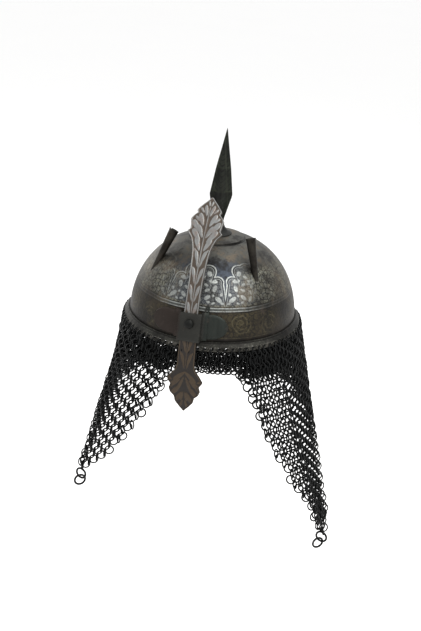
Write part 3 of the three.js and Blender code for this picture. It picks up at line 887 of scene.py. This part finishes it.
# Leaflets in relief on one half: x, distance along, half length, half width, turn out from the bar.
upperLeaflets = [
    (5.6, 161, 8.5, 2.6, 24), (9.0, 171, 9.0, 3.0, 36), (11.3, 182, 8.2, 3.1, 34),
    (5.2, 176, 8.5, 2.5, 24), (6.6, 190, 8.5, 2.7, 22), (11.2, 190.5, 4.4, 1.7, 40),
    (3.3, 201, 7.5, 2.0, 14), (7.6, 201, 4.2, 1.5, 36), (1.6, 210, 4.0, 1.2, 12),
]
lowerLeaflets = [
    (6.2, 9, 9.5, 2.7, 132), (11.6, 0, 8.5, 2.9, 128), (9.5, -9, 8.0, 2.9, 140), (4.4, 0, 10, 2.0, 158),
    (5.8, -17, 7.5, 2.6, 152), (2.2, -16, 7.0, 1.7, 166), (2.8, -26, 5.5, 1.8, 162),
    (16.2, -6, 3.2, 1.8, 110), (17.0, 4, 3.4, 1.6, 60),
]
shaftUnit = {"length": 19.5, "start": 20.0, "end": 155.0}
shaftLeaflets = [(3.0, 9.5, 8.0, 2.1, 15), (5.2, 16.0, 3.8, 1.3, 32), (1.7, 2.0, 4.6, 1.2, 14)]


def leafletHeight(x, along, leaflet):
    centreX, centreAlong, longHalf, wideHalf, turn = leaflet
    c, s = math.cos(math.radians(turn)), math.sin(math.radians(turn))
    dx, dy = np.abs(x) - centreX, along - centreAlong
    forward, sideways = dx * s + dy * c, dx * c - dy * s
    share = np.clip(forward / longHalf, -1, 1)
    wide = wideHalf * np.sqrt(np.clip(1 - share ** 2, 0, 1)) * (1 + 0.35 * share)
    over = np.where(np.abs(forward) < longHalf, wide - np.abs(sideways), -1)
    vein = np.clip(1 - np.abs(sideways) / 0.45, 0, 1) * 0.35
    return np.clip(over / 0.9, 0, 1) ** 0.6 * (1 - vein)


def barRelief(x, along, half):
    s = barShape
    height = np.zeros_like(x)
    for leaflet in upperLeaflets + lowerLeaflets:
        height = np.maximum(height, leafletHeight(x, along, leaflet))
    unit = shaftUnit["length"]
    for i in range(int((shaftUnit["end"] - shaftUnit["start"]) / unit) + 1):
        for leafX, leafAlong, longHalf, wideHalf, turn in shaftLeaflets:
            place = shaftUnit["start"] + i * unit + leafAlong
            leaflet = (leafX * half.mean() / 8.6 * 0.95, place, longHalf, wideHalf, turn)
            height = np.maximum(height, leafletHeight(x, along, leaflet))
    stem = np.clip(1.1 - np.abs(x) / 0.9, 0, 1) * (along > 22) * (along < 206)
    height = np.maximum(height, stem * 0.8)
    edge = half - np.abs(x)
    bead = np.clip(1 - np.abs(edge - s["beadHalf"]) / s["beadHalf"], 0, 1) ** 0.5 * s["beadHeight"]
    inner = np.clip((edge - 2.0) / 0.5, 0, 1)
    return np.maximum(height * inner, bead)


def makeNasalBar():
    s = barShape
    first, last = barOutline[0, 0], barOutline[-1, 0]
    alongMm = np.arange(first, last, s["step"] * 1000)
    halfMm = np.interp(alongMm, barOutline[:, 0], barOutline[:, 1])
    soft = np.convolve(np.pad(halfMm, 2, mode="edge"), [0.1, 0.2, 0.4, 0.2, 0.1], "valid")
    spread = np.linspace(-1, 1, s["columns"])
    spread = np.sign(spread) * (1 - (1 - np.abs(spread)) ** 1.25)
    x = soft[:, None] * spread[None, :]
    along = np.broadcast_to(alongMm[:, None], x.shape)
    raised = barRelief(x, along, np.broadcast_to(soft[:, None], x.shape))
    turn = np.degrees(along * mm / barArc["radius"])
    rounding = np.clip(1 - (soft[:, None] - np.abs(x)) / 0.7, 0, 1) ** 2 * 0.0006
    face = barArc["radius"] + s["thickness"] / 2 - s["ground"] + raised * s["relief"] - rounding
    back = barArc["radius"] - s["thickness"] / 2 + rounding * 0.5
    points, faces = slabBody(arcPoint(x * mm, turn, face), arcPoint(x * mm, turn, back))
    made = makeObject("nasalBlade", points, faces, finishes["paleSteel"], sharp=60)
    attribute = made.data.attributes.new("raised", "FLOAT", "POINT")
    attribute.data.foreach_set("value", np.concatenate([raised.ravel(), np.full(raised.size, 0.5)]))
    place = made.data.attributes.new("alongBar", "FLOAT", "POINT")
    place.data.foreach_set("value", np.concatenate([along.ravel(), along.ravel()]))
    faceOut(made)
    finishPiece(made, "nasal", "pale_steel", "nasal_bar")


bracketShape = {"low": 0.013, "high": 0.041, "left": -28, "right": 24.4, "round": 11,
                "thickness": 0.0015, "lift": 0.0003, "columns": 120, "rows": 22}
stapleShape = {"half": 0.0135, "foot": 0.0195, "low": 10.35, "high": 16.8, "slack": 0.00075,
               "plate": 0.0018, "rows": 16, "screwHole": 0.00265}
eyeShape = {"left": 0.0142, "right": 0.019, "low": 0.039, "high": 0.0495, "slot": 0.0014}
screwShape = {"height": 0.031, "radius": 0.00535, "rise": 0.0042, "edge": 0.0008, "shank": 0.0022,
              "gap": 0.0003, "sides": 48}


def onBowl(x, up, offset):
    out = bowlRadiusAt(up) + offset
    return np.stack(np.broadcast_arrays(x, -np.sqrt(out ** 2 - x ** 2), up), -1)


def bracketBase():
    s = bracketShape
    ease = (1 - np.cos(np.linspace(0, math.pi, s["columns"]))) / 2
    azimuth = s["left"] + (s["right"] - s["left"]) * ease
    end = np.where(azimuth < 0, s["left"], s["right"])
    past = np.clip(1 - np.abs(end - azimuth) / s["round"], 0, 1)
    reach = (s["high"] - s["low"]) / 2 * np.sqrt(np.clip(1 - past ** 2, 0.03, 1))
    spread = np.linspace(-1, 1, s["rows"])
    up = (s["low"] + s["high"]) / 2 + spread[:, None] * reach[None, :]
    edge = np.clip((np.abs(spread) - 0.86) / 0.14, 0, 1)[:, None] ** 2 * 0.0007
    outer = roundPoint(azimuth[None, :], bowlRadiusAt(up) + s["lift"] + s["thickness"] - edge, up)
    inner = roundPoint(azimuth[None, :], bowlRadiusAt(up) + s["lift"], up)
    return faceOut(makeObject("base", *slabBody(outer, inner)))


# A strap bent into a flat-topped U, with feet that lie on the base plate.
def bracketStaple():
    s, b = stapleShape, bracketShape
    degrees = np.linspace(s["low"], s["high"], s["rows"])
    radius = barArc["radius"] + barShape["thickness"] / 2 + s["slack"]
    seat = b["lift"] + b["thickness"] - 0.0001
    # one half, from its foot: x, share of the way from the base to the front, extra on the foot
    outerHalf = [(s["foot"], 0, 0.0015), (0.0152, 0, 0.0015), (0.0142, 0.12, 0.0015),
                 (0.0136, 0.3, 0.001), (s["half"], 0.8, 0), (0.0131, 0.95, 0), (0.0122, 1, 0), (0.006, 1, 0)]
    innerHalf = [(s["foot"], 0, 0), (0.0146, 0, 0), (0.0125, 0, 0), (0.0119, 0.3, 0),
                 (0.0117, 0.8, 0), (0.0115, 0.97, 0), (0.0110, 1, 0), (0.006, 1, 0)]

    def whole(half):
        return [(-x, share, extra) for x, share, extra in half] + [(0, 1, 0)] + half[::-1]

    def skin(section, reach, shrink):
        rows = []
        for i, turn in enumerate(degrees):
            edge = max(0.0, abs(2 * i / (len(degrees) - 1) - 1) - 0.85) / 0.15 * shrink
            row = []
            for x, share, extra in section:
                front = arcPoint(x, turn, radius + reach - edge)
                base = onBowl(x, front[2], seat + extra - edge * (1 if extra else 0))
                row.append(base * (1 - share) + front * share)
            rows.append(row)
        return np.array(rows)

    outer = skin(whole(outerHalf), s["plate"], 0.0006)
    return faceOut(makeObject("staple", *slabBody(outer, skin(whole(innerHalf), 0, 0.0))))


def bracketEye():
    s, b = eyeShape, bracketShape
    x = np.linspace(s["left"], s["right"], 9)[None, :]
    share = np.linspace(0, 1, 16)[:, None]
    narrowing = 1 - np.clip((share - 0.75) / 0.25, 0, 1) ** 2 * 0.45
    middle = (s["left"] + s["right"]) / 2
    x = middle + (x - middle) * narrowing
    up = s["low"] + (s["high"] - s["low"]) * share + 0 * x
    front = onBowl(x, up, b["lift"] + b["thickness"])
    eye = faceOut(makeObject("eye", *slabBody(front, onBowl(x, up, b["lift"]))))
    slot = bpy.data.meshes.new("slot")
    shape = bmesh.new()
    place = Vector(onBowl(middle, s["high"] - 0.0042, 0.0).tolist())
    bmesh.ops.create_cube(shape, size=1.0, matrix=Matrix.Translation(place) @ Matrix.Diagonal(
        (s["slot"], 0.016, 0.005, 1)))
    shape.to_mesh(slot)
    shape.free()
    return combine(eye, linkObject("slot", slot), "DIFFERENCE")


# The screw's axis: a point at a distance from the bar circle's centre, and the way out along it.
def screwAxis(radius):
    turn = math.degrees(math.asin((screwShape["height"] - barArc["centreZ"]) / barArc["radius"]))
    return arcPoint(0.0, turn, radius), arcPoint(0.0, turn, 1.0) - arcPoint(0.0, turn, 0.0)


# Points drawn up +Z, turned along a way and moved to a place.
def pointAlong(points, place, way):
    turn = Vector((0, 0, 1)).rotation_difference(Vector(way.tolist())).to_matrix()
    return points @ np.array(turn).T + place


def makeBracket():
    body = bracketBase()
    others = [bracketStaple(), bracketEye()]
    for other in others:
        combine(body, other, "UNION")
    body.name = "barBracket"
    body.data.materials.clear()
    body.data.materials.append(finishes["rustySteel"])
    s = stapleShape
    place, way = screwAxis(barArc["radius"] - 0.004)
    points, faces = turnedBody([(0, 0), (s["screwHole"], 0), (s["screwHole"], 0.016), (0, 0.016)], 40)
    combine(body, faceOut(makeObject("drill", pointAlong(points, place, way), faces)), "DIFFERENCE")
    body.data.shade_smooth()
    body.data.set_sharp_from_angle(angle=math.radians(35))
    finishPiece(faceOut(body), "helmet", "rusty_steel", "nasal_bracket")


def makeSetScrew():
    s = screwShape
    gap = s["gap"]
    seat = stapleShape["slack"] + stapleShape["plate"] + gap
    angles = np.radians([0, 12, 24, 36, 48, 60, 72, 82])
    bulge = s["rise"] - s["edge"]
    dome = [(s["radius"] * math.cos(a), seat + s["edge"] + bulge * math.sin(a)) for a in angles]
    profile = [(0, gap), (s["shank"], gap), (s["shank"], seat), (s["radius"] - gap, seat)]
    profile += [(s["radius"], seat + gap)] + dome + [(0, seat + s["rise"])]
    place, way = screwAxis(barArc["radius"] + barShape["thickness"] / 2)
    points, faces = turnedBody(profile, s["sides"])
    points = pointAlong(points, place, way)
    made = faceOut(makeObject("screwDome", points, faces, finishes["blackSteel"]))
    finishPiece(made, "screw", "black_steel", "set_screw")


rimDetail = {"sides": 504, "holes": 84, "holeRadius": 0.0015, "holeHeight": 0.0036, "outer": 0.107,
             "drillDepth": 0.008, "drillSides": 14}
# radius and height round the rim's section
rimSection = [
    (0.1046, 0.0), (0.1049, -0.0), (0.1066, 0.0), (0.1069, 0.0003), (0.1070, 0.0010), (0.1069, 0.0030),
    (0.1066, 0.0052), (0.1060, 0.0060), (0.1045, 0.0078), (0.1034, 0.0089), (0.1032, 0.0096),
    (0.1028, 0.0103), (0.1022, 0.0105), (0.1011, 0.0105), (0.1011, 0.0075), (0.1046, 0.0050)]


# Drills at the points of the incoming mesh, turned by its "turn" attribute, cut from a body.
def drillTree():
    group, tree, given = geometryTree("rimHoles", {
        "Body": ("NodeSocketObject", None), "Radius": (lengthType, 0.0015), "Depth": (lengthType, 0.008),
        "Sides": (countType, 16), "Material": (materialType, None)})
    drill = tree.node("GeometryNodeMeshCylinder", sockets={
        "Vertices": given["Sides"], "Radius": given["Radius"], "Depth": given["Depth"]})
    turn = tree.node("GeometryNodeInputNamedAttribute", {"data_type": "FLOAT_VECTOR"}, {"Name": "turn"})
    placed = tree.node("GeometryNodeInstanceOnPoints",
                       sockets={"Points": given["Geometry"], "Instance": drill, "Rotation": turn})
    solid = tree.node("GeometryNodeRealizeInstances", sockets={0: placed})
    body = tree.node("GeometryNodeObjectInfo", sockets={"Object": given["Body"]}, output="Geometry")
    cut = tree.node("GeometryNodeMeshBoolean", {"operation": "DIFFERENCE", "solver": "EXACT"},
                    {"Mesh 1": body, "Mesh 2": solid})
    endTree(group, tree, cut, given["Material"])
    return group


def makeRimBand():
    s = rimDetail
    points, faces = turnedBody(rimSection, s["sides"])
    lift = slowWave(points * 1.5, 17)[:, None] * 0.00025
    points = points + roundPoint(np.degrees(np.arctan2(points[:, 0], -points[:, 1])), 1.0, 0.0) * lift
    body = faceOut(makeObject("rimBody", points, faces, finishes["rimSteel"], sharp=40))
    azimuths = (np.arange(s["holes"]) + 0.5) * 360 / s["holes"]
    places = roundPoint(azimuths, s["outer"], s["holeHeight"])
    drills = pointCloud("rimRing", places, [turnFacing(azimuth) for azimuth in azimuths])
    growMesh(drills, drillTree(), {
        "Body": body, "Radius": s["holeRadius"], "Depth": s["drillDepth"], "Sides": s["drillSides"],
        "Material": finishes["rimSteel"]})
    bpy.data.objects.remove(body)
    drills.data.shade_smooth()
    drills.data.set_sharp_from_angle(angle=math.radians(40))
    finishPiece(drills, "helmet", "rim_steel", "rim_band")


# Rings with the settings' radius, wire, steps, wireSides, unevenness and seed, at points with turns.
def growRings(name, points, turns, s, *nodes):
    made = growMesh(pointCloud(name, points, turns), wireRings, {
        "Ring radius": s["radius"], "Wire radius": s["wire"], "Steps": s["steps"],
        "Wire sides": s["wireSides"], "Unevenness": s["unevenness"], "Seed": s["seed"],
        "Material": finishes["mailSteel"]})
    finishPiece(made, "helmet", "mail_steel", *nodes)


# The links that join the mail to the rim, one for each hole.
rimRings = {"radius": 0.0047, "wire": 0.00085, "steps": 16, "wireSides": 6, "unevenness": 0.06, "seed": 3,
            "drop": 0.0011, "out": 0.1062, "swing": 34.0, "swingSpread": 9}


def makeRimRings():
    s = rimRings
    points, turns = [], []
    for i in range(rimDetail["holes"]):
        azimuth = (i + 0.5) * 360 / rimDetail["holes"]
        points.append(roundPoint(azimuth, s["out"], -s["drop"]))
        swing = s["swing"] + random.normal() * s["swingSpread"]
        turns.append(turnFacing(azimuth + 90 - swing))
    growRings("rimLinks", points, turns, s)


endRings = {"radius": 0.0066, "wire": 0.0013, "steps": 40, "wireSides": 12, "unevenness": 0.0, "seed": 1,
            "facing": {"upper": -15, "lower": 38}}


def makeEndRings():
    for side in ("left", "right"):
        for level, facing in endRings["facing"].items():
            node = "mail_end_ring_" + side + "_" + level
            low, high = (np.array(corner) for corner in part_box(node))
            growRings(node + "_wire", [(low + high) / 2], [turnFacing(facing)], endRings, node)


mailRadius, mailGap = 0.106, 0.0003
# azimuth at the rim, length, azimuth of the lean and its angle, as the part has them
mailLines = np.array([
    (-180, 112, -180, 4), (-130, 112, -130, 5), (-100, 107, -98, 6), (-84, 110, -82, 7),
    (-71, 126, -60, 9.6), (-64, 157, -50, 13.2), (-58, 184, -52, 16.4), (-52, 190, -59, 17.2),
    (-44, 194, -68, 18.6), (-37, 198, -75, 20.4), (-30, 200, -80, 22.4), (-25, 189, -79, 21.6),
    (-20, 168, -77, 20.8), (-16, 139, -77, 20.3), (-12, 107, -77, 19.5), (-8, 76, -75, 19),
    (-5, 45, -80, 18), (-2, 27, -86, 8), (4, 25, -40, 1), (28, 25, 30, 3), (33, 30, 38, 10),
    (37, 61, 45, 22.8), (42, 110, 57, 19.4), (48, 156, 65, 20.3), (54, 204, 71, 21.2),
    (60, 243, 77, 20), (64, 242, 75, 19.6), (70, 236, 70, 19.3), (77, 227, 65, 19.5),
    (84, 215, 60, 19.9), (91, 200, 56, 19.9), (98, 181, 53, 19.4), (105, 152, 62, 15),
    (113, 124, 88, 10), (122, 112, 115, 7), (145, 112, 145, 5), (180, 112, 180, 4),
], dtype=float)


# Smooth value of one column of a sorted table at x, with slopes taken from the neighbours.
def smoothValue(table, x, column):
    places, values = table[:, 0], table[:, column]
    slopes = np.gradient(values, places)
    slopes[1:-1] = (values[2:] - values[:-2]) / (places[2:] - places[:-2])
    x = np.asarray(x, dtype=float)
    i = np.clip(np.searchsorted(places, x) - 1, 0, len(places) - 2)
    span = places[i + 1] - places[i]
    t = (x - places[i]) / span
    rise = values[i + 1] - values[i]
    startBend, endBend = slopes[i] * span - rise, rise - slopes[i + 1] * span
    return values[i] + t * rise + t * (1 - t) * (startBend * (1 - t) + endBend * t)


def mailPoint(azimuth, down):
    azimuth = (np.asarray(azimuth, dtype=float) + 180) % 360 - 180
    lean = np.radians(smoothValue(mailLines, azimuth, 3))
    point = roundPoint(azimuth, mailRadius, -mailGap - down * np.cos(lean))
    return point + roundPoint(smoothValue(mailLines, azimuth, 2), down * np.sin(lean), 0)


def mailLength(azimuth):
    return smoothValue(mailLines, (np.asarray(azimuth, dtype=float) + 180) % 360 - 180, 1) * mm


# Rows of rings run across the curtain, slanted where a tail pulls them down. Every other row leans the
# other way. The inner layers end at doubledTo degrees from the front.
mailWeave = {
    "radius": 0.0052, "wire": 0.00098, "steps": 14, "wireSides": 4, "unevenness": 0.05, "seed": 7,
    "rowPitch": 0.0071, "firstRow": 0.0052, "firstIndex": -12, "lastIndex": 41, "lean": 40.0,
    "jitter": 0.0003, "inset": 0.0021, "step": 0.25, "doubledTo": 62.0,
}
# panel: where it starts and ends round the rim, where its rings are counted from, how far apart they
# are along a row, and how far down each layer goes, the outermost first
mailPanels = {
    "mail_front": (-5, 33, 14, 0.0062, (0.03, 0.03, 0.03)),
    "mail_left": (-92, -5, -30, 0.0071, (1.0, 0.034, 0.03)),
    "mail_right": (33, 100, 58, 0.0068, (1.0, 0.034, 0.03)),
    "mail_back": (100, 268, 184, 0.0066, (1.0,)),
}
# azimuth and how far down the back edges of the two tails are, in metres
backEdge = np.array([
    (-92, 0.108), (-64, 0.116), (-58, 0.13), (-52, 0.155), (-46, 0.19), (-42, 1.0), (76, 1.0),
    (81, 0.2), (87, 0.15), (93, 0.122), (100, 0.112), (124, 0.112), (126, 1.0), (268, 1.0)])
# azimuth and how far the rows there are pulled down, in metres
rowSlant = np.array([
    (-92, -0.05), (-60, -0.05), (-8, 0.0), (58, 0.0), (99.9, 0.062), (100, 0.0), (268, 0.0)])


# Unit vectors of the curtain at a place: round the helmet, down the line and out of it.
def mailFrame(azimuth, down):
    step = 0.2
    here = mailPoint(azimuth, down)
    across = mailPoint(azimuth + step, down) - here
    along = mailPoint(azimuth, down + 0.001) - here
    across /= np.linalg.norm(across)
    along /= np.linalg.norm(along)
    outward = np.cross(along, across)
    return here, across, along, outward / np.linalg.norm(outward)


# Places of one row's rings, an even pitch apart along the row, with the row's own slant there.
def ringPlaces(start, end, middle, pitch, row, layer):
    s = mailWeave
    azimuths = np.arange(start, end, s["step"])
    downs = s["firstRow"] + (row + 0.5 * layer) * s["rowPitch"] + np.interp(azimuths, *rowSlant.T)
    points = mailPoint(azimuths, downs)
    lengths = np.concatenate([[0.0], np.cumsum(np.linalg.norm(np.diff(points, axis=0), axis=1))])
    lengths -= np.interp(middle, azimuths, lengths)
    shift = 0.5 * ((row + layer) % 2)
    first, last = math.ceil(lengths[0] / pitch - shift), math.floor(lengths[-1] / pitch - shift)
    counts = np.arange(first, last + 1)
    places = (counts + shift) * pitch
    return zip(np.interp(places, lengths, azimuths), np.interp(places, lengths, downs))


def weavePanel(node, start, end, middle, pitch, layers):
    s = mailWeave
    points, turns = [], []
    for layer, deepest in enumerate(layers):
        for row in range(s["firstIndex"], s["lastIndex"] + 1):
            for azimuth, down in ringPlaces(start, end, middle, pitch, row, layer):
                lowest = min(mailLength(azimuth), deepest, np.interp(azimuth, *backEdge.T))
                single = layer and abs(azimuth - steelFront) > s["doubledTo"]
                if single or not 0.5 * s["firstRow"] <= down <= lowest:
                    continue
                here, across, along, outward = mailFrame(azimuth, down)
                lean = math.radians(s["lean"] if row % 2 else -s["lean"])
                normal = outward * math.cos(lean) + across * math.sin(lean)
                points.append(here - outward * s["inset"] * layer + random.normal(size=3) * s["jitter"])
                turns.append(turnTo(normal, along))
    growRings(node + "_rings", points, turns, s, node)


makeCamera()
makeFloor()
makeLights()
print("room ready")
makeBowl()
makeRimBand()
makeCrownPlate()
makeCollar()
makeSpike()
makePlumeTube("left")
makePlumeTube("right")
makeNasalBar()
makeBracket()
makeSetScrew()
print("steelwork ready")
wireRings = ringTree()
makeRimRings()
for node, panel in mailPanels.items():
    weavePanel(node, *panel)
makeEndRings()
print("mail ready")
